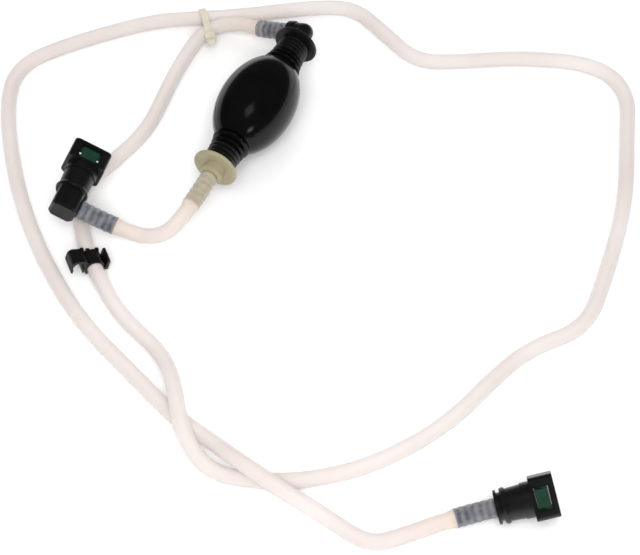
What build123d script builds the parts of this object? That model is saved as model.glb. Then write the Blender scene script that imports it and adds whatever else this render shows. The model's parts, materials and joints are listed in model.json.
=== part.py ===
from build123d import *
import os
from math import cos, radians, sin, tan

# Siphon bulb pump: a rubber primer bulb with a check valve at each end, on a translucent
# fuel line that ends in two quick connectors. Millimetres, +Z up. The pump's axis is
# along +X, from inlet to outlet, and the floor is z = 0. The origin is on the floor, under
# the middle of the bulb with its two end fittings.

# ---------------------------------------------------------------- driving dimensions
BULB_R = 26.0              # bulb, outside
BULB_HALF = 36.0           # bulb body, centre to shoulder
BULB_ELLIPSE_A = 41.0      # half length of the bulb's full ellipse
BULB_WALL = 3.0
NECK_R = 8.6               # bulb neck under the clamp
NECK_BORE_R = 6.5
FLANGE_R = 15.5
FLANGE_FACE = 59.2         # pump centre to the flange's inner face
FLANGE_T = 2.6
FLANGE_BACK = FLANGE_FACE + FLANGE_T
BEAD_1 = (38.6, 3.2, 13.3)  # moulded collar: place, half width, radius
BEAD_2 = (43.2, 2.6, 12.1)
CLAMP_START = 45.9
CLAMP_PITCH = 3.3
CLAMP_TURNS = 4
CLAMP_BAND_R = 9.7
CLAMP_CREST_R = 11.5
CLAMP_CREST_STEP = 0.25

PASSAGE_R = 2.75           # fuel passage in every fitting
CHAMBER_R = 4.5            # check valve chamber
BALL_R = 3.6
SEAT_HOLE_R = 2.6
SEAL_T = 1.5
BALL_SEAT_GAP = 0.05
SPRING_GAP = 0.1           # first coil to ball
SPRING_R = 2.9             # mean radius of the valve springs
SPRING_WIRE_R = 0.22
SPRING_TURNS = 4
CAGE_T = 1.6

TUBE_R = 5.0               # 8 x 10 nylon fuel line
TUBE_BORE_R = 4.0
BARB_ROOT_R = 4.0
BARB_CREST_R = 4.6
BARB_PITCH = 4.6

INLET_HUB_END = 69.0       # pump centre to the end of the inlet hub
INLET_STEM_END = 92.5
ELBOW_X = 72.5             # pump centre to the outlet elbow's centre
ELBOW_R = 6.8
OUTLET_DROP = 20.0         # the outlet stem points down by this many degrees
OUTLET_STEM_START = 11.0
OUTLET_COLLAR_R = 7.8
OUTLET_STEM_END = 32.0

# the bulb rests on the floor, and the origin is under the middle of the pump
AXIS_Z = BULB_R
AXIS_X = (INLET_STEM_END - ELBOW_X - ELBOW_R) / 2
OUTLET_REACH = OUTLET_STEM_END * cos(radians(OUTLET_DROP)) + BARB_ROOT_R * sin(radians(OUTLET_DROP))
AXIS_Y = (BULB_R - OUTLET_REACH) / 2

# quick connectors, measured back from the mouth
HEAD_W = 26.5
HEAD_H = 22.4
HEAD_CORNER_R = 3.5
HEAD_END = 14.6
STEP_R = 11.0
STEP_END = 20.1
BARREL_R = 9.9
RING_R = 11.2
RING_T = 3.2
GROOVE_R = 8.6
GROOVE_T = 2.3
REAR_FLANGE_R = 10.5
REAR_FLANGE_T = 1.5
SOCKET_R = 5.1             # holds a 10 mm spigot
SOCKET_START = 24.0
SOCKET_END = 31.5
SEAL_BORE_R = 7.3
CAVITY_START = 3.8         # slot for the two locking rings
CAVITY_END = 12.6
CAVITY_HALF_W = 9.3
CAVITY_HALF_H = 10.2
WINDOW_W = 13.6
RECESS_W = 15.6           # shallow pocket around each window
RECESS_START = 2.6
RECESS_END = 13.8
RECESS_DEPTH = 0.8
ENTRY_R = 7.6
MOUTH_R = 9.8              # the opening widens to this at its face
MOUTH_T = 2.2
LATCH_T = 3.8              # locking ring, along the connector
LATCH_STARTS = (4.2, 8.4)  # upper ring, lower ring
LATCH_HALF_W = 9.0
LATCH_LEG_T = 1.4
CLAW_EDGE = 5.6
CLAW_T = 1.2
LATCH_TOP = 9.5
LATCH_INNER_TOP = 7.9
PAD_W = 11.2
PAD_TOP = 10.7
O_RING_R = 6.2
O_RING_WIRE_R = 1.0

STRAIGHT_NECK_END = 29.5   # mouth to the bead ring
ELBOW_NECK_END = 32.0
ELBOW_BLOCK_END = 51.5
ELBOW_BLOCK_CENTRE = 43.0
ELBOW_BLOCK_W = 17.5
ELBOW_STEM_START = 9.5     # block centre to the tube's end
BARB_ZONE = 25.5           # length of stem inside a tube

CENTRED = (Align.CENTER, Align.CENTER, Align.MIN)

# ---------------------------------------------------------------- planes of the pieces
pump_centre = Vector(AXIS_X, AXIS_Y, AXIS_Z)
pump_axis = Axis(pump_centre, (1, 0, 0))
# local x runs along the pump, local y is the radius
pump_section = Plane(pump_centre, x_dir=(1, 0, 0), z_dir=(0, -1, 0))
inlet = Plane(pump_centre, x_dir=(0, -1, 0), z_dir=(-1, 0, 0))
outlet = Plane(pump_centre, x_dir=(0, 1, 0), z_dir=(1, 0, 0))

elbow_centre = pump_centre + Vector(ELBOW_X, 0, 0)
outlet_way = Vector(0, cos(radians(OUTLET_DROP)), -sin(radians(OUTLET_DROP)))
outlet_stem = Plane(elbow_centre, x_dir=(1, 0, 0), z_dir=outlet_way)


def port_plane(mouth, way, up):
    """A connector's plane: origin in its mouth, z out of the mouth, y out of its upper window."""
    way = Vector(*way).normalized()
    up = Vector(*up)
    up = (up - way * up.dot(way)).normalized()
    return Plane(Vector(*mouth), x_dir=up.cross(way), z_dir=way)


def turned_up(way, degrees):
    """The upward direction across way, rolled about it towards the side way x Z."""
    way = Vector(*way).normalized()
    up = (Vector(0, 0, 1) - way * way.Z).normalized()
    side = way.cross(up)
    return up * cos(radians(degrees)) + side * sin(radians(degrees))


# straight connector: it lies on its rear flange, with its head held up a little by the stiff hose
STRAIGHT_WAY = (0.547, -0.809, 0.215)
STRAIGHT_ROLL = 34.0
STRAIGHT_REAR = (-203.0, -267.0, 11.4)
STRAIGHT_LENGTH = STRAIGHT_NECK_END + RING_T + GROOVE_T + REAR_FLANGE_T
straight_mouth = Vector(*STRAIGHT_REAR) + Vector(*STRAIGHT_WAY).normalized() * STRAIGHT_LENGTH
straight_port = port_plane(straight_mouth, STRAIGHT_WAY, turned_up(STRAIGHT_WAY, STRAIGHT_ROLL))

# elbow connector: it lies across the long tube, with its stem pointing down to the floor
ELBOW_WAY = (0.990, 0.139, 0.0)
ELBOW_ROLL = 22.0
ELBOW_BLOCK_AT = (-122.0, 71.5, 26.0)
elbow_mouth = Vector(*ELBOW_BLOCK_AT) + Vector(*ELBOW_WAY).normalized() * ELBOW_BLOCK_CENTRE
elbow_port = port_plane(elbow_mouth, ELBOW_WAY, turned_up(ELBOW_WAY, ELBOW_ROLL))
elbow_stem = Plane(
    elbow_port.from_local_coords(Vector(0, 0, -ELBOW_BLOCK_CENTRE)),
    x_dir=elbow_port.z_dir,
    z_dir=elbow_port.x_dir * -1,
)

# ---------------------------------------------------------------- tube routes
# The first and last points are where the tube butts against its fitting.
short_start = elbow_stem.from_local_coords(Vector(0, 0, ELBOW_STEM_START))
short_end = inlet.from_local_coords(Vector(0, 0, INLET_HUB_END))
SHORT_ROUTE = [
    tuple(short_start),
    (-116.0, 28.0, 8.3),
    (-112.5, 6.5, 15.0),
    (-99.0, -2.7, 25.5),
    tuple(short_end),
]
long_start = outlet_stem.from_local_coords(Vector(0, 0, OUTLET_STEM_START))
LONG_ROUTE = [
    tuple(long_start),
    (79.1, 33.0, 13.0),
    (80.3, 48.5, 12.0),
    (68.5, 69.0, 7.3),
    (39.0, 71.0, 5.2),
    (8.0, 68.0, 5.2),
    (-29.0, 62.5, 5.2),
    (-66.0, 70.5, 5.2),
    (-94.0, 80.0, 5.2),
    (-129.0, 58.5, 6.7),
    (-152.5, 33.5, 7.0),
    (-174.0, 4.5, 5.2),
    (-188.0, -32.0, 7.0),
    (-209.0, -53.0, 17.5),
    (-236.5, -71.5, 17.5),
    (-252.5, -97.0, 5.5),
    (-245.5, -128.0, 5.2),
    (-231.0, -157.0, 5.2),
    (-204.0, -188.0, 5.2),
    (-160.0, -216.0, 5.2),
    (-107.0, -231.0, 5.2),
    (-82.0, -242.5, 5.2),
    (-54.0, -267.0, 5.2),
    (-10.0, -263.5, 5.2),
    (52.0, -254.0, 5.2),
    (105.0, -234.5, 5.2),
    (145.0, -220.5, 5.2),
    (158.0, -190.0, 5.2),
    (140.5, -140.5, 5.2),
    (118.0, -103.0, 5.2),
    (106.0, -76.5, 5.2),
    (121.5, -44.5, 5.2),
    (134.5, -15.0, 5.2),
    (116.5, 18.0, 5.2),
    (90.0, 54.0, 6.2),
    (72.0, 84.5, 6.9),
    (58.5, 109.5, 5.2),
    (14.5, 151.0, 5.2),
    (-18.5, 172.5, 5.2),
    (-54.5, 160.0, 5.2),
    (-110.5, 119.0, 5.2),
    (-152.5, 76.5, 5.2),
    (-188.0, 27.0, 5.2),
    (-208.0, -20.0, 5.2),
    (-225.5, -60.0, 5.2),
    (-232.5, -89.5, 7.0),
    (-243.5, -115.0, 17.5),
    (-249.5, -144.0, 17.5),
    (-250.0, -178.0, 5.5),
    (-255.5, -206.5, 5.2),
    (-245.5, -220.0, 5.2),
    (-218.3, -244.4, 5.4),
    STRAIGHT_REAR,
]
ARC_SHARE = 0.45           # share of the shorter run that each arc takes


def corner_radii(route):
    """The largest arc that each corner of a route leaves room for."""
    points = [Vector(*p) for p in route]
    radii = []
    for before, corner, after in zip(points, points[1:], points[2:]):
        way_in = corner - before
        way_out = after - corner
        half_turn = radians(way_in.get_angle(way_out)) / 2
        radii.append(ARC_SHARE * min(way_in.length, way_out.length) / tan(half_turn))
    return radii


# ---------------------------------------------------------------- shared shapes
def stack(plane, sections):
    """Round sections along a plane's normal: start, end, radius at start, radius at end."""
    for start, end, start_r, end_r in sections:
        with Locations(plane.offset(start)):
            if start_r == end_r:
                Cylinder(start_r, end - start, align=CENTRED)
            else:
                Cone(start_r, end_r, end - start, align=CENTRED)


def bore(plane, start, end, radius):
    with Locations(plane.offset(start)):
        Cylinder(radius, end - start, align=CENTRED, mode=Mode.SUBTRACT)


def barbed_stem(plane, start, end):
    """A stem with barbs that point back towards the fitting."""
    stack(plane, [(start, end, BARB_ROOT_R, BARB_ROOT_R)])
    barb_count = int((end - start) // BARB_PITCH)
    for barb in range(barb_count):
        tip = end - barb * BARB_PITCH
        stack(plane, [(tip - BARB_PITCH * 0.7, tip, BARB_CREST_R, BARB_ROOT_R - 0.4)])


def save(piece, name):
    piece.part.label = name
    export_step(piece.part, f"parts/{name}.step")


def hose(route):
    """A hollow tube along straight runs joined by tangent arcs."""
    with BuildPart() as piece:
        with BuildLine() as path:
            FilletPolyline(*route, radius=corner_radii(route))
        with BuildSketch(Plane(path.line @ 0, z_dir=path.line % 0)):
            Circle(TUBE_R)
            Circle(TUBE_BORE_R, mode=Mode.SUBTRACT)
        sweep()
    return piece, sum(edge.length for edge in path.line.edges())


# ---------------------------------------------------------------- pump
def make_bulb():
    with BuildPart() as piece:
        with BuildSketch(pump_section):
            Ellipse(BULB_ELLIPSE_A, BULB_R)
            Rectangle(2 * BULB_HALF, 3 * BULB_R, mode=Mode.INTERSECT)
            Rectangle(2 * FLANGE_FACE, 2 * NECK_R)
            for side in (-1, 1):
                for place, half_width, crest in (BEAD_1, BEAD_2):
                    with Locations((side * place, 0)):
                        Ellipse(half_width, crest)
            Ellipse(BULB_ELLIPSE_A - BULB_WALL, BULB_R - BULB_WALL, mode=Mode.SUBTRACT)
            Rectangle(3 * FLANGE_FACE, 2 * NECK_BORE_R, mode=Mode.SUBTRACT)
            with Locations((0, -BULB_R)):
                Rectangle(3 * FLANGE_FACE, 2 * BULB_R, mode=Mode.SUBTRACT)
        revolve(axis=pump_axis)
    return piece


def make_clamp(side):
    """A ribbed clamp band around one neck, each rib a little smaller than the last."""
    length = CLAMP_TURNS * CLAMP_PITCH
    with BuildPart() as piece:
        with BuildSketch(pump_section):
            middle = side * (CLAMP_START + length / 2)
            with Locations((middle, (NECK_R + CLAMP_BAND_R) / 2)):
                Rectangle(length, CLAMP_BAND_R - NECK_R)
            for turn in range(CLAMP_TURNS):
                place = side * (CLAMP_START + CLAMP_PITCH * (turn + 0.5))
                rise = CLAMP_CREST_R - CLAMP_CREST_STEP * turn - CLAMP_BAND_R
                with Locations((place, CLAMP_BAND_R)):
                    Ellipse(CLAMP_PITCH / 2 - 0.15, rise)
            with Locations((middle, NECK_R / 2)):
                Rectangle(2 * length, NECK_R, mode=Mode.SUBTRACT)
        revolve(axis=pump_axis)
    return piece


VALVE_START = 37.0         # inner end of both spigots
INLET_SEAT = 50.0          # shoulder that the inlet seal lies on
OUTLET_SEAT_T = 2.0
OUTLET_SHOULDER = 50.2


def make_inlet_fitting():
    with BuildPart() as piece:
        stack(inlet, [
            (VALVE_START, FLANGE_FACE, NECK_BORE_R, NECK_BORE_R),
            (FLANGE_FACE, FLANGE_BACK, FLANGE_R, FLANGE_R),
            (FLANGE_BACK, INLET_HUB_END - 2, 7.6, 7.6),
            (INLET_HUB_END - 2, INLET_HUB_END, 7.6, 6.2),
        ])
        fillet(piece.edges().filter_by(GeomType.CIRCLE).filter_by(
            lambda edge: abs(edge.radius - FLANGE_R) < 0.01), 0.9)
        barbed_stem(inlet, INLET_HUB_END, INLET_STEM_END)
        bore(inlet, VALVE_START, INLET_SEAT, CHAMBER_R)
        bore(inlet, INLET_SEAT, INLET_STEM_END, PASSAGE_R)
    return piece


def make_outlet_fitting():
    with BuildPart() as piece:
        stack(outlet, [
            (VALVE_START, FLANGE_FACE, NECK_BORE_R, NECK_BORE_R),
            (FLANGE_FACE, FLANGE_BACK, FLANGE_R, FLANGE_R),
            (FLANGE_BACK, FLANGE_BACK + 4, 8.8, 7.6),
            (FLANGE_BACK + 4, ELBOW_X, ELBOW_R, ELBOW_R),
        ])
        fillet(piece.edges().filter_by(GeomType.CIRCLE).filter_by(
            lambda edge: abs(edge.radius - FLANGE_R) < 0.01), 0.9)
        with Locations(elbow_centre):
            Sphere(ELBOW_R)
        stack(outlet_stem, [
            (0, OUTLET_STEM_START - 4, ELBOW_R, ELBOW_R),
            (OUTLET_STEM_START - 4, OUTLET_STEM_START, OUTLET_COLLAR_R, OUTLET_COLLAR_R),
        ])
        barbed_stem(outlet_stem, OUTLET_STEM_START, OUTLET_STEM_END)
        bore(outlet, VALVE_START, OUTLET_SHOULDER, CHAMBER_R)
        bore(outlet, OUTLET_SHOULDER, ELBOW_X, PASSAGE_R)
        bore(outlet_stem, 0, OUTLET_STEM_END, PASSAGE_R)
        with Locations(elbow_centre):
            Sphere(PASSAGE_R, mode=Mode.SUBTRACT)
    return piece


def make_seal(plane, start):
    """A rubber seat ring with a lead-in edge for the ball on its downstream face."""
    with BuildPart() as piece:
        stack(plane, [(start, start + SEAL_T, CHAMBER_R, CHAMBER_R)])
        bore(plane, start, start + SEAL_T, SEAT_HOLE_R)
    return piece


def make_ball(centre):
    with BuildPart() as piece:
        with Locations(centre):
            Sphere(BALL_R)
    return piece


def make_spring(start, length):
    """A compression spring along +X from start."""
    with BuildPart() as piece:
        with BuildLine() as coil:
            Helix(
                pitch=(length - 2 * SPRING_WIRE_R) / SPRING_TURNS,
                height=length - 2 * SPRING_WIRE_R,
                radius=SPRING_R,
                center=start + Vector(SPRING_WIRE_R, 0, 0),
                direction=(1, 0, 0),
            )
        with BuildSketch(Plane(coil.line @ 0, z_dir=coil.line % 0)):
            Circle(SPRING_WIRE_R)
        sweep(is_frenet=True)
    return piece


def make_cage():
    """The inlet valve's cage: a disc with a middle hole and a ring of flow holes."""
    with BuildPart() as piece:
        stack(inlet, [(VALVE_START, VALVE_START + CAGE_T, CHAMBER_R, CHAMBER_R)])
        bore(inlet, VALVE_START, VALVE_START + CAGE_T, 0.9)
        with Locations(inlet.offset(VALVE_START)):
            with PolarLocations(2.1, 5):
                Cylinder(0.75, CAGE_T, align=CENTRED, mode=Mode.SUBTRACT)
    return piece


def make_outlet_seat():
    """The hard ring that backs the outlet seal at the mouth of the outlet spigot."""
    with BuildPart() as piece:
        stack(outlet, [(VALVE_START, VALVE_START + OUTLET_SEAT_T, CHAMBER_R, CHAMBER_R)])
        bore(outlet, VALVE_START, VALVE_START + OUTLET_SEAT_T, SEAT_HOLE_R)
    return piece


# ---------------------------------------------------------------- quick connectors
def connector_head(port, neck_end):
    """The head, step, barrel and bead ring that both connectors share."""
    with BuildSketch(port.offset(-HEAD_END)) as head:
        RectangleRounded(HEAD_W, HEAD_H, HEAD_CORNER_R)
    extrude(head.sketch, amount=HEAD_END)
    stack(port, [
        (-STEP_END, -HEAD_END, STEP_R, STEP_R),
        (-neck_end, -STEP_END, BARREL_R, BARREL_R + 0.5),
        (-neck_end - RING_T / 2, -neck_end, RING_R, RING_R - 0.7),
        (-neck_end - RING_T, -neck_end - RING_T / 2, RING_R - 0.7, RING_R),
    ])


def connector_hollow(port):
    """The mouth, the slot and windows for the locking rings, the seal bore and the socket."""
    with Locations(port.offset(-MOUTH_T / 2)):
        Cone(ENTRY_R, MOUTH_R, MOUTH_T, mode=Mode.SUBTRACT)
    bore(port, -CAVITY_START, 0, ENTRY_R)
    with BuildSketch(port.offset(-CAVITY_END)) as cavity:
        Rectangle(2 * CAVITY_HALF_W, 2 * CAVITY_HALF_H)
        Rectangle(WINDOW_W, HEAD_H)
    extrude(cavity.sketch, amount=CAVITY_END - CAVITY_START, mode=Mode.SUBTRACT)
    with BuildSketch(port.offset(-RECESS_END)) as recess:
        for side in (-1, 1):
            with Locations((0, side * HEAD_H / 2)):
                Rectangle(RECESS_W, 2 * RECESS_DEPTH)
    extrude(recess.sketch, amount=RECESS_END - RECESS_START, mode=Mode.SUBTRACT)
    bore(port, -SOCKET_START, -CAVITY_END, SEAL_BORE_R)
    bore(port, -SOCKET_END, -SOCKET_START, SOCKET_R)


def make_straight_body():
    rear = STRAIGHT_NECK_END + RING_T
    with BuildPart() as piece:
        connector_head(straight_port, STRAIGHT_NECK_END)
        stack(straight_port, [
            (-rear - GROOVE_T, -rear, GROOVE_R, GROOVE_R),
            (-STRAIGHT_LENGTH, -rear - GROOVE_T, REAR_FLANGE_R, REAR_FLANGE_R),
        ])
        backwards = Plane(
            straight_port.from_local_coords(Vector(0, 0, -STRAIGHT_LENGTH)),
            x_dir=straight_port.x_dir,
            z_dir=straight_port.z_dir * -1,
        )
        barbed_stem(backwards, 0, BARB_ZONE)
        connector_hollow(straight_port)
        bore(backwards, -(STRAIGHT_LENGTH - SOCKET_END), BARB_ZONE, PASSAGE_R)
    return piece


def make_elbow_body():
    ring_end = ELBOW_NECK_END + RING_T
    with BuildPart() as piece:
        with BuildSketch(elbow_port.offset(-ELBOW_BLOCK_END)):
            RectangleRounded(ELBOW_BLOCK_W, ELBOW_BLOCK_W, 4.0)
        extrude(amount=ELBOW_BLOCK_END - ring_end)
        rear_edges = piece.edges().sort_by(Axis(elbow_mouth, elbow_port.z_dir))[:8]
        chamfer(rear_edges, 1.6)
        connector_head(elbow_port, ELBOW_NECK_END)
        stack(elbow_stem, [(0, ELBOW_STEM_START, 6.6, 6.6)])
        barbed_stem(elbow_stem, ELBOW_STEM_START, ELBOW_STEM_START + BARB_ZONE)
        connector_hollow(elbow_port)
        bore(elbow_port, -ELBOW_BLOCK_CENTRE, -SOCKET_END, PASSAGE_R)
        bore(elbow_stem, 0, ELBOW_STEM_START + BARB_ZONE, PASSAGE_R)
        with Locations(elbow_stem.origin):
            Sphere(PASSAGE_R, mode=Mode.SUBTRACT)
    return piece


def make_latch(port, start, side):
    """A locking ring around the socket, with a press pad on one side and a claw on the other."""
    with BuildPart() as piece:
        with BuildSketch(port.offset(-start - LATCH_T)):
            with Locations((0, side * (LATCH_TOP - CLAW_EDGE - CLAW_T) / 2)):
                Rectangle(2 * LATCH_HALF_W, LATCH_TOP + CLAW_EDGE + CLAW_T)
            with Locations((0, side * (LATCH_INNER_TOP - CLAW_EDGE) / 2)):
                Rectangle(
                    2 * (LATCH_HALF_W - LATCH_LEG_T),
                    LATCH_INNER_TOP + CLAW_EDGE,
                    mode=Mode.SUBTRACT,
                )
        extrude(amount=LATCH_T)
        pad_start = LATCH_STARTS[0]
        pad_length = LATCH_STARTS[1] + LATCH_T - pad_start
        with BuildSketch(port.offset(-pad_start - pad_length)):
            with Locations((0, side * (LATCH_TOP + PAD_TOP) / 2)):
                RectangleRounded(PAD_W, PAD_TOP - LATCH_TOP, 0.3)
        extrude(amount=pad_length)
    return piece


def make_o_rings(port):
    with BuildPart() as piece:
        with Locations(port.offset(-18.0), port.offset(-22.6)):
            Torus(O_RING_R, O_RING_WIRE_R)
    return piece


def make_sleeve(port, start, end):
    """A plain ring in the seal bore."""
    with BuildPart() as piece:
        stack(port, [(-end, -start, SEAL_BORE_R, SEAL_BORE_R)])
        bore(port, -end, -start, SOCKET_R + 0.1)
    return piece


# ---------------------------------------------------------------- pieces on the long tube
CLIP_AT = (-145.1, 41.4, 6.9)
CLIP_WAY = (-0.685, -0.729, 0.0)
CLIP_ROLL = 20.0           # the free grip stands this far up beside the hose
CLIP_LENGTH = 11.5
GRIP_R = TUBE_R + 0.02
GRIP_W = 12.2
GRIP_H = 12.0
GRIP_MOUTH = 7.6           # width of the opening below each grip
FREE_GRIP_R = 4.2
FREE_GRIP_AT = (-11.0, 1.6)
FREE_GRIP_W = 11.2
FREE_GRIP_H = 11.2
FREE_GRIP_MOUTH = 6.8
CLIP_PEAK_T = 1.8          # ridges across the far end of the grips
CLIP_PEAK_H = 1.3
TAB_X = 8.7                # finger tab
TAB_Y = 2.4
TAB_T = 2.0
TAB_H = 8.0
clip_across = Vector(0.729, -0.685, 0) * cos(radians(CLIP_ROLL)) - Vector(0, 0, sin(radians(CLIP_ROLL)))
clip_plane = Plane(Vector(*CLIP_AT), x_dir=clip_across, z_dir=CLIP_WAY)

TIE_AT = (72.5, 70.8, 7.3)
TIE_SPAN = 13.2
TIE_THICK = 1.1
TIE_SLACK = 0.45
TIE_WIDTH = 4.8
TIE_HEAD_W = 5.6
TIE_HEAD_L = 7.2
TIE_TAIL = 5.5             # cut end beyond the head
tie_plane = Plane(Vector(*TIE_AT), x_dir=(0.774, 0.629, -0.078), z_dir=(0.633, -0.770, 0.079))


def make_clip():
    """A pipe clip: a grip on the long tube, an empty grip beside it and a finger tab."""
    free_x, free_y = FREE_GRIP_AT
    with BuildPart() as piece:
        with BuildSketch(clip_plane.offset(-CLIP_LENGTH / 2)):
            RectangleRounded(GRIP_W, GRIP_H, 4.2)
            with Locations(FREE_GRIP_AT):
                RectangleRounded(FREE_GRIP_W, FREE_GRIP_H, 3.4)
            # finger tab beside the grip, on a low web
            with Locations((TAB_X - 1.1, TAB_Y - TAB_H / 2 + 0.9)):
                Rectangle(4.0, 1.8)
            with Locations((TAB_X, TAB_Y)):
                RectangleRounded(TAB_T, TAB_H, 0.6)
            Circle(GRIP_R, mode=Mode.SUBTRACT)
            with Locations(FREE_GRIP_AT):
                Circle(FREE_GRIP_R, mode=Mode.SUBTRACT)
            # both grips are open below
            with Locations((0, -6.0)):
                Rectangle(GRIP_MOUTH, 8.0, mode=Mode.SUBTRACT)
            with Locations((free_x, free_y - 5.0)):
                Rectangle(FREE_GRIP_MOUTH, 6.0, mode=Mode.SUBTRACT)
        extrude(amount=CLIP_LENGTH)
        with BuildSketch(clip_plane.offset(-CLIP_LENGTH / 2)):
            for peak_x in (-3.2, 3.2):
                with Locations((peak_x, GRIP_H / 2 + CLIP_PEAK_H / 2 - 0.4)):
                    RectangleRounded(2.4, CLIP_PEAK_H + 0.8, 0.5)
            with Locations((free_x + 3.4, free_y + FREE_GRIP_H / 2 + CLIP_PEAK_H / 2 - 0.6)):
                RectangleRounded(2.4, CLIP_PEAK_H + 0.8, 0.5)
        extrude(amount=CLIP_PEAK_T)
    return piece


def make_tie():
    """A cable tie around both passes of the long tube, with its head beside the inner one."""
    inside_h = 2 * (TUBE_R + TIE_SLACK)
    with BuildPart() as piece:
        with BuildSketch(tie_plane.offset(-TIE_WIDTH / 2)):
            SlotCenterToCenter(TIE_SPAN, inside_h + 2 * TIE_THICK)
            SlotCenterToCenter(TIE_SPAN, inside_h, mode=Mode.SUBTRACT)
        extrude(amount=TIE_WIDTH)
        head_x = -(TIE_SPAN / 2 + TUBE_R + TIE_THICK + 2.2)
        with BuildSketch(tie_plane.offset(-TIE_HEAD_L / 2)):
            with Locations((head_x, 0.6)):
                RectangleRounded(TIE_HEAD_W, 6.4, 1.0)
        extrude(amount=TIE_HEAD_L)
        # the strap's cut end, standing out of the head
        with BuildSketch(tie_plane.offset(-TIE_WIDTH / 2)):
            with Locations((head_x - TIE_HEAD_W / 2 - TIE_TAIL / 2 + 0.5, 1.4)):
                Rectangle(TIE_TAIL + 1.0, TIE_THICK)
        extrude(amount=TIE_WIDTH)
    return piece


# ---------------------------------------------------------------- build and write
os.makedirs("parts", exist_ok=True)

inlet_ball_x = -(INLET_SEAT - SEAL_T) + (BALL_R**2 - SEAT_HOLE_R**2) ** 0.5 + BALL_SEAT_GAP
outlet_seal_end = VALVE_START + OUTLET_SEAT_T + SEAL_T
outlet_ball_x = outlet_seal_end + (BALL_R**2 - SEAT_HOLE_R**2) ** 0.5 + BALL_SEAT_GAP
spring_on_ball = (BALL_R**2 - SPRING_R**2) ** 0.5
inlet_spring_x = inlet_ball_x + spring_on_ball + SPRING_GAP
outlet_spring_x = outlet_ball_x + spring_on_ball + SPRING_GAP

save(make_bulb(), "bulb_body")
for side, name in ((-1, "inlet_clamp"), (1, "outlet_clamp")):
    save(make_clamp(side), name)
save(make_inlet_fitting(), "inlet_fitting")
save(make_outlet_fitting(), "outlet_fitting")

save(make_seal(inlet, INLET_SEAT - SEAL_T), "inlet_valve_seal")
save(make_ball(pump_centre + Vector(inlet_ball_x, 0, 0)), "inlet_valve_ball")
inlet_spring_length = -(VALVE_START + CAGE_T) - inlet_spring_x
save(make_spring(pump_centre + Vector(inlet_spring_x, 0, 0), inlet_spring_length), "inlet_valve_spring")
save(make_cage(), "inlet_valve_cage")

save(make_outlet_seat(), "outlet_valve_seat")
save(make_seal(outlet, VALVE_START + OUTLET_SEAT_T), "outlet_valve_seal")
save(make_ball(pump_centre + Vector(outlet_ball_x, 0, 0)), "outlet_valve_ball")
outlet_spring_length = OUTLET_SHOULDER - outlet_spring_x
save(make_spring(pump_centre + Vector(outlet_spring_x, 0, 0), outlet_spring_length), "outlet_valve_spring")

save(make_straight_body(), "straight_connector_body")
save(make_elbow_body(), "elbow_connector_body")
for name, port in (("straight", straight_port), ("elbow", elbow_port)):
    save(make_latch(port, LATCH_STARTS[0], 1), f"{name}_release_upper")
    save(make_latch(port, LATCH_STARTS[1], -1), f"{name}_release_lower")
    save(make_sleeve(port, 13.6, 16.6), f"{name}_seal_retainer")
    save(make_o_rings(port), f"{name}_o_rings")
    save(make_sleeve(port, 19.3, 21.3), f"{name}_seal_spacer")

save(make_clip(), "pipe_clip")
save(make_tie(), "cable_tie")

tube_section = 3.14159265 * (TUBE_R**2 - TUBE_BORE_R**2)
for name, route in (("tube_short", SHORT_ROUTE), ("tube_long", LONG_ROUTE)):
    tube, length = hose(route)
    save(tube, name)
    print(name, "length", round(length, 1), "volume / (section x length)",
          round(tube.part.volume / (tube_section * length), 5))
    print("  radii", [round(r) for r in corner_radii(route)])
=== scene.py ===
"""Looks of the siphon bulb pump: its two hoses, and the materials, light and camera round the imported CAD.

Every rigid piece shows its own CAD mesh, with a material. Only the two hoses are made here."""
import json
import math

import bmesh
import bpy
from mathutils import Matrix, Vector


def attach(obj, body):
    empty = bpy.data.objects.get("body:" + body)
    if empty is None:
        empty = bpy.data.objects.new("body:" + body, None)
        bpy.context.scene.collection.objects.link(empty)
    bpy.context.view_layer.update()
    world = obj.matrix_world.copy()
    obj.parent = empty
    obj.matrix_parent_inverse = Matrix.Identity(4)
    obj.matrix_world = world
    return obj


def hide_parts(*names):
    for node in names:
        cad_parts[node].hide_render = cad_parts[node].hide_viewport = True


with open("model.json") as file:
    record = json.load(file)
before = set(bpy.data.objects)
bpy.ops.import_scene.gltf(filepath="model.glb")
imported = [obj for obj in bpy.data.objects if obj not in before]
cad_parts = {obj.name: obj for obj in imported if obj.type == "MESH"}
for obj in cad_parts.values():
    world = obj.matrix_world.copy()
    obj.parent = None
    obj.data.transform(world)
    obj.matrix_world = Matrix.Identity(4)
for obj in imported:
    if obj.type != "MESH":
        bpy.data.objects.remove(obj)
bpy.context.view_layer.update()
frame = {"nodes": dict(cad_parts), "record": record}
MM = 0.001
ROOT = "pump"                # the body that both hoses ride on
OWN_MATERIAL = {"cable_tie": "tie_nylon"}    # paler than the rest of its slot

ROOM_STRENGTH = 0.66
ROOM_IN_GLOSS = 0.06         # the room is dark where it would show in glossy rubber
FLOOR_SIZE = 8.0
FLOOR_DROP = 0.3 * MM        # the floor lies this far below the part
CLOUD_SCALE = 90.0           # noise that varies the colour of a moulding
PATCH_SCALE = 260.0          # noise that varies its gloss


# ---------------------------------------------------------------- camera, light and floor
def set_camera():
    aim = Vector((-0.0880, -0.0955, 0.0))
    azimuth = math.radians(25.58)
    elevation = math.radians(54.0)
    distance = 1.365
    look = Vector((
        math.cos(elevation) * math.cos(azimuth),
        math.cos(elevation) * math.sin(azimuth),
        -math.sin(elevation),
    ))
    data = bpy.data.cameras.new("camera")
    data.sensor_width = 36.0
    data.lens = 118.1
    camera = bpy.data.objects.new("camera", data)
    bpy.context.scene.collection.objects.link(camera)
    camera.location = aim - look * distance
    camera.rotation_euler = look.to_track_quat("-Z", "Y").to_euler()
    bpy.context.scene.camera = camera


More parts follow.
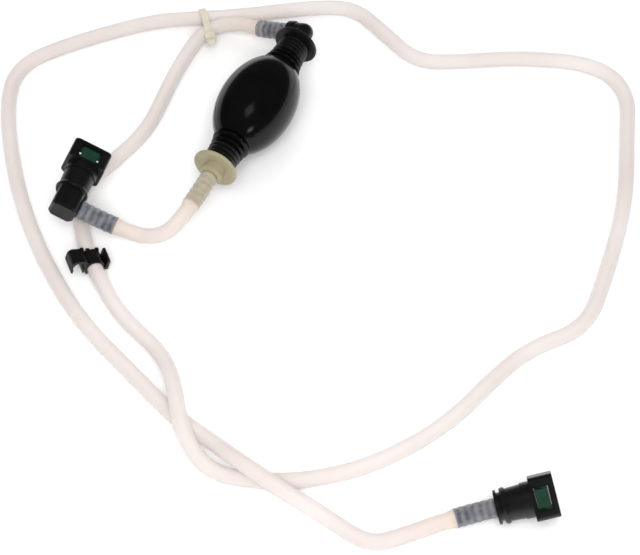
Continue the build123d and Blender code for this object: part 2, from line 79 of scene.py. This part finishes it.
def add_light(name, place, aim, size, power, shines=False):
    """A soft panel; only one that shines shows in glossy surfaces."""
    data = bpy.data.lights.new(name, "AREA")
    data.shape = "RECTANGLE"
    data.size, data.size_y = size
    data.energy = power
    light = bpy.data.objects.new(name, data)
    bpy.context.scene.collection.objects.link(light)
    light.location = place
    light.rotation_euler = (Vector(aim) - Vector(place)).to_track_quat("-Z", "Y").to_euler()
    light.visible_glossy = shines


def set_light():
    bpy.context.scene.view_settings.view_transform = "Standard"
    world = bpy.data.worlds.new("studio")
    world.use_nodes = True
    tree = world.node_tree
    background = tree.nodes["Background"]
    background.inputs["Color"].default_value = (1.0, 1.0, 1.0, 1.0)
    rays = tree.nodes.new("ShaderNodeLightPath")
    strength = tree.nodes.new("ShaderNodeMapRange")
    strength.inputs["To Min"].default_value = ROOM_STRENGTH
    strength.inputs["To Max"].default_value = ROOM_IN_GLOSS
    tree.links.new(rays.outputs["Is Glossy Ray"], strength.inputs["Value"])
    tree.links.new(strength.outputs["Result"], background.inputs["Strength"])
    bpy.context.scene.world = world
    add_light("key_light", (-0.88, -0.47, 1.22), (-0.06, -0.05, 0.0), (0.9, 0.9), 17.0)
    add_light("back_light", (1.1, 0.7, 1.1), (-0.05, 0.0, 0.0), (1.4, 1.2), 7.0)
    add_light("ceiling_light", (-0.25, -0.3, 1.35), (0.0, 0.0, 0.03), (0.45, 0.45), 0.9, shines=True)
    add_light("window_light", (-0.70, -0.84, 0.50), (0.0, 0.0, 0.03), (0.26, 0.2), 0.7, shines=True)


def add_floor():
    bpy.ops.mesh.primitive_plane_add(size=FLOOR_SIZE, location=(0.0, 0.0, -FLOOR_DROP))
    floor = bpy.context.active_object
    floor.name = "floor"
    material = bpy.data.materials.new("floor_white")
    material.use_nodes = True
    shader = material.node_tree.nodes["Principled BSDF"]
    shader.inputs["Base Color"].default_value = (0.93, 0.93, 0.93, 1.0)
    shader.inputs["Roughness"].default_value = 0.9
    shader.inputs["Specular IOR Level"].default_value = 0.1
    floor.data.materials.append(material)


# ---------------------------------------------------------------- materials
def new_material(name, roughness, ior=1.5):
    material = bpy.data.materials.new(name)
    material.use_nodes = True
    shader = material.node_tree.nodes["Principled BSDF"]
    shader.inputs["Roughness"].default_value = roughness
    shader.inputs["IOR"].default_value = ior
    return material, material.node_tree, shader


def object_noise(tree, scale, detail=3.0):
    """A noise in the frame's own metres, so it stays on the piece."""
    place = tree.nodes.new("ShaderNodeTexCoord")
    noise = tree.nodes.new("ShaderNodeTexNoise")
    noise.inputs["Scale"].default_value = scale
    noise.inputs["Detail"].default_value = detail
    tree.links.new(place.outputs["Object"], noise.inputs["Vector"])
    return noise


def ramp_between(tree, source, low, high, start=0.3, end=0.7):
    ramp = tree.nodes.new("ShaderNodeValToRGB")
    ramp.color_ramp.elements[0].position = start
    ramp.color_ramp.elements[0].color = (*low, 1.0)
    ramp.color_ramp.elements[1].position = end
    ramp.color_ramp.elements[1].color = (*high, 1.0)
    tree.links.new(source, ramp.inputs["Fac"])
    return ramp.outputs["Color"]


def range_between(tree, source, low, high):
    spread = tree.nodes.new("ShaderNodeMapRange")
    spread.inputs["To Min"].default_value = low
    spread.inputs["To Max"].default_value = high
    tree.links.new(source, spread.inputs["Value"])
    return spread.outputs["Result"]


def add_bump(tree, shader, height, depth, strength=1.0):
    bump = tree.nodes.new("ShaderNodeBump")
    bump.inputs["Distance"].default_value = depth
    bump.inputs["Strength"].default_value = strength
    tree.links.new(height, bump.inputs["Height"])
    tree.links.new(bump.outputs["Normal"], shader.inputs["Normal"])


def moulded(name, low, high, roughness, grain=1400.0, depth=0.00003, ior=1.5):
    """A moulded surface: fine grain, with colour and gloss that vary a little."""
    material, tree, shader = new_material(name, roughness[0], ior)
    cloud = object_noise(tree, CLOUD_SCALE)
    colour = ramp_between(tree, cloud.outputs["Fac"], low, high)
    tree.links.new(colour, shader.inputs["Base Color"])
    patches = object_noise(tree, PATCH_SCALE)
    gloss = range_between(tree, patches.outputs["Fac"], *roughness)
    tree.links.new(gloss, shader.inputs["Roughness"])
    fine = object_noise(tree, grain, 5.0)
    add_bump(tree, shader, fine.outputs["Fac"], depth)
    return material


def solid_nylon(name, low, high):
    """Natural nylon in a thick moulding: light goes a little way in."""
    material = moulded(name, low, high, (0.32, 0.48), 1200.0, 0.00004)
    shader = material.node_tree.nodes["Principled BSDF"]
    shader.inputs["Subsurface Weight"].default_value = 0.35
    shader.inputs["Subsurface Radius"].default_value = (0.003, 0.0024, 0.0014)
    return material


def make_materials():
    made = {
        "bulb_rubber": moulded("bulb_rubber", (0.0018, 0.0018, 0.002), (0.003, 0.003, 0.0033),
                               (0.13, 0.20), 900.0, 0.00002, 1.32),
        "black_plastic": moulded("black_plastic", (0.003, 0.003, 0.0033), (0.006, 0.006, 0.0064),
                                 (0.30, 0.46), 1600.0, 0.00004, 1.45),
        "green_plastic": moulded("green_plastic", (0.004, 0.030, 0.016), (0.007, 0.043, 0.022),
                                 (0.35, 0.5), 1600.0, 0.00004),
        "o_ring_rubber": moulded("o_ring_rubber", (0.01, 0.01, 0.01), (0.016, 0.016, 0.016),
                                 (0.5, 0.65)),
        "valve_seal_rubber": moulded("valve_seal_rubber", (0.012, 0.012, 0.012), (0.02, 0.02, 0.02),
                                     (0.5, 0.7)),
    }
    made["tie_nylon"] = solid_nylon("tie_nylon", (0.58, 0.54, 0.43), (0.66, 0.62, 0.50))
    made["cream_nylon"] = solid_nylon("cream_nylon", (0.285, 0.25, 0.155), (0.37, 0.325, 0.21))
    steel = moulded("valve_steel", (0.55, 0.55, 0.57), (0.62, 0.62, 0.64), (0.18, 0.3))
    steel.node_tree.nodes["Principled BSDF"].inputs["Metallic"].default_value = 1.0
    made["valve_steel"] = steel
    made["milky_nylon"] = milky_nylon()
    return made


def milky_nylon():
    """Natural nylon tube: milky, see-through enough to show what is inside it, tinted over its stems, with
    painted highlights in blotches over them.
    """
    material, tree, shader = new_material("milky_nylon", 0.3, 1.45)
    cloud = object_noise(tree, 14.0)
    milky = ramp_between(tree, cloud.outputs["Fac"], (0.72, 0.645, 0.62), (0.81, 0.755, 0.73))
    tint = tree.nodes.new("ShaderNodeAttribute")
    tint.attribute_name = TINT
    # painted highlight: random blotches thin the stem's tint, and the lighter ones stand in for highlights
    # on the stem seen through the hose
    stem_highlight_blotches = object_noise(tree, 230.0)
    patchy_with_painted_highlight = range_between(tree, stem_highlight_blotches.outputs["Fac"], 0.65, 1.3)
    share = tree.nodes.new("ShaderNodeMath")
    share.operation = "MULTIPLY"
    share.use_clamp = True
    tree.links.new(tint.outputs["Alpha"], share.inputs[0])
    tree.links.new(patchy_with_painted_highlight, share.inputs[1])
    mix = tree.nodes.new("ShaderNodeMixRGB")
    tree.links.new(share.outputs["Value"], mix.inputs["Fac"])
    tree.links.new(milky, mix.inputs["Color1"])
    tree.links.new(tint.outputs["Color"], mix.inputs["Color2"])
    tree.links.new(mix.outputs["Color"], shader.inputs["Base Color"])
    streaks = object_noise(tree, 420.0)
    gloss = range_between(tree, streaks.outputs["Fac"], 0.24, 0.38)
    tree.links.new(gloss, shader.inputs["Roughness"])
    fine = object_noise(tree, 900.0, 4.0)
    add_bump(tree, shader, fine.outputs["Fac"], 0.00003)
    shader.inputs["Alpha"].default_value = 0.70
    shader.inputs["Subsurface Weight"].default_value = 0.2
    shader.inputs["Subsurface Radius"].default_value = (0.004, 0.0034, 0.003)
    return material


# ---------------------------------------------------------------- hoses
HOSE_R = 5.0 * MM
STEM_LENGTH = 25.5 * MM      # of hose drawn as lying over a stem: the connectors' own, at all four ends
STEM_SWELL = 0.75 * MM       # how much the stem widens the hose
BARB_SWELL = 0.35 * MM
BARB_PITCH = 4.6 * MM
SWELL_FADE = 4 * MM          # beyond the stem, until the hose is its own size again
AMBER_FADE = 55 * MM
RING_STEP = 1.1 * MM         # the most there is between the hose's rings near its ends
FINE_REACH = STEM_LENGTH + 5 * MM    # how far from each end the rings are that close
HOSE_SIDES = 28
STEM_WEIGHT = 0.95           # of the tint over a stem, between its barbs
BARB_WEIGHT_DIP = 0.18
AMBER_WEIGHT = 0.8
TINT = "tint"                # colour attribute: what shows through the hose over a stem
BLACK_STEM = (0.085, 0.102, 0.130)   # a black stem, seen through milky nylon
CREAM_STEM = (0.430, 0.385, 0.270)
AMBER = (0.740, 0.610, 0.520)        # the hose just beyond a stem, which has aged a little

LONG_ROUTE = [
    (79.1, 7.62, 22.24),
    (79.1, 33, 13),
    (80.3, 48.5, 12),
    (68.5, 69, 7.3),
    (39, 71, 5.2),
    (8, 68, 5.2),
    (-29, 62.5, 5.2),
    (-66, 70.5, 5.2),
    (-94, 80, 5.2),
    (-129, 58.5, 6.7),
    (-152.5, 33.5, 7),
    (-174, 4.5, 5.2),
    (-188, -32, 7),
    (-209, -53, 17.5),
    (-236.5, -71.5, 17.5),
    (-252.5, -97, 5.5),
    (-245.5, -128, 5.2),
    (-231, -157, 5.2),
    (-204, -188, 5.2),
    (-160, -216, 5.2),
    (-107, -231, 5.2),
    (-82, -242.5, 5.2),
    (-54, -267, 5.2),
    (-10, -263.5, 5.2),
    (52, -254, 5.2),
    (105, -234.5, 5.2),
    (145, -220.5, 5.2),
    (158, -190, 5.2),
    (140.5, -140.5, 5.2),
    (118, -103, 5.2),
    (106, -76.5, 5.2),
    (121.5, -44.5, 5.2),
    (134.5, -15, 5.2),
    (116.5, 18, 5.2),
    (90, 54, 6.2),
    (72, 84.5, 6.9),
    (58.5, 109.5, 5.2),
    (14.5, 151, 5.2),
    (-18.5, 172.5, 5.2),
    (-54.5, 160, 5.2),
    (-110.5, 119, 5.2),
    (-152.5, 76.5, 5.2),
    (-188, 27, 5.2),
    (-208, -20, 5.2),
    (-225.5, -60, 5.2),
    (-232.5, -89.5, 7),
    (-243.5, -115, 17.5),
    (-249.5, -144, 17.5),
    (-250, -178, 5.5),
    (-255.5, -206.5, 5.2),
    (-245.5, -220, 5.2),
    (-218.3, -244.4, 5.4),
    (-203, -267, 11.4),
]
SHORT_ROUTE = [
    (-120.78, 62.78, 22.44),
    (-116, 28, 8.3),
    (-112.5, 6.5, 15),
    (-99, -2.7, 25.5),
    (-62.4, -2.72, 26),
]


def spline_points(name, route):
    """The smooth line of a hose: a NURBS spline with the route's points as its control points."""
    curve = bpy.data.curves.new(name, "CURVE")
    curve.dimensions = "3D"
    curve.resolution_u = 24
    spline = curve.splines.new("NURBS")
    spline.points.add(len(route) - 1)
    for point, place in zip(spline.points, route):
        point.co = (*(value * MM for value in place), 1.0)
    spline.order_u = 3
    spline.use_endpoint_u = True
    line = bpy.data.objects.new(name, curve)
    bpy.context.scene.collection.objects.link(line)
    bpy.context.view_layer.update()
    mesh = bpy.data.meshes.new_from_object(line)
    points = [vertex.co.copy() for vertex in mesh.vertices]
    bpy.data.objects.remove(line)
    bpy.data.meshes.remove(mesh)
    return points


def line_length(points):
    return sum((b - a).length for a, b in zip(points, points[1:]))


def swell(distance):
    """How much wider the hose is, this far from the end that is pushed over a stem."""
    if distance > STEM_LENGTH + SWELL_FADE:
        return 0.0
    if distance > STEM_LENGTH:
        left = 1 - (distance - STEM_LENGTH) / SWELL_FADE
        return STEM_SWELL * left * left * (3 - 2 * left)
    wave = 0.5 - 0.5 * math.cos(2 * math.pi * distance / BARB_PITCH)
    return STEM_SWELL + BARB_SWELL * wave


def stem_tint(distance, stem_colour):
    """Colour and weight of the tint, this far from an end of the hose."""
    band = 0.5 - 0.5 * math.cos(2 * math.pi * distance / BARB_PITCH)
    if distance < STEM_LENGTH:
        return (*stem_colour, STEM_WEIGHT - BARB_WEIGHT_DIP * band)
    fade = max(0.0, 1 - (distance - STEM_LENGTH) / AMBER_FADE)
    return (*AMBER, AMBER_WEIGHT * fade * fade)


def hose_mesh(name, points, stem_colours):
    """A closed tube along the points, wider over the stem at each end."""
    total = line_length(points)
    fine = refined(points, RING_STEP, FINE_REACH, total)
    mesh = bpy.data.meshes.new(name)
    shape = bmesh.new()
    tint_layer = shape.verts.layers.float_color.new(TINT)
    rings = []
    travelled = 0.0
    across = Vector((0, 0, 1))
    for index, point in enumerate(fine):
        before = fine[max(index - 1, 0)]
        after = fine[min(index + 1, len(fine) - 1)]
        along = (after - before).normalized()
        if index:
            travelled += (point - before).length
        across = (across - along * across.dot(along)).normalized()
        side = along.cross(across)
        radius = HOSE_R + swell(travelled) + swell(total - travelled)
        if travelled < total / 2:
            tint = stem_tint(travelled, stem_colours[0])
        else:
            tint = stem_tint(total - travelled, stem_colours[1])
        ring = []
        for step in range(HOSE_SIDES):
            turn = 2 * math.pi * step / HOSE_SIDES
            place = point + (across * math.cos(turn) + side * math.sin(turn)) * radius
            vertex = shape.verts.new(place)
            vertex[tint_layer] = tint
            ring.append(vertex)
        rings.append(ring)
    for ring, following in zip(rings, rings[1:]):
        for step in range(HOSE_SIDES):
            ahead = (step + 1) % HOSE_SIDES
            shape.faces.new((ring[step], ring[ahead], following[ahead], following[step]))
    shape.faces.new(list(reversed(rings[0])))
    shape.faces.new(rings[-1])
    bmesh.ops.recalc_face_normals(shape, faces=shape.faces)
    shape.to_mesh(mesh)
    shape.free()
    mesh.shade_smooth()
    hose = bpy.data.objects.new(name, mesh)
    bpy.context.scene.collection.objects.link(hose)
    return hose


def refined(points, step, reach, total):
    """The same line, with close points over the two ends, where the hose swells over its stems."""
    result = [points[0]]
    travelled = 0.0
    for start, end in zip(points, points[1:]):
        length = (end - start).length
        near = travelled < reach or travelled + length > total - reach
        pieces = max(1, math.ceil(length / step)) if near else 1
        for piece in range(1, pieces + 1):
            result.append(start.lerp(end, piece / pieces))
        travelled += length
    return result


def add_hose(name, route, node, stem_colours):
    points = spline_points(name + "_line", route)
    hose = hose_mesh(name, points, stem_colours)
    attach(hose, ROOT)
    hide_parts(node)
    hose.data.materials.append(MATERIALS["milky_nylon"])


# ---------------------------------------------------------------- build
set_camera()
set_light()
add_floor()
MATERIALS = make_materials()

slot_of = {entry["node"]: entry["material_slot"] for entry in frame["record"]["subparts"]}
for node, piece in frame["nodes"].items():
    piece.data.materials.clear()
    piece.data.materials.append(MATERIALS[OWN_MATERIAL.get(node, slot_of[node])])

add_hose("long_hose", LONG_ROUTE, "tube_long", (BLACK_STEM, BLACK_STEM))
add_hose("short_hose", list(reversed(SHORT_ROUTE)), "tube_short", (CREAM_STEM, BLACK_STEM))
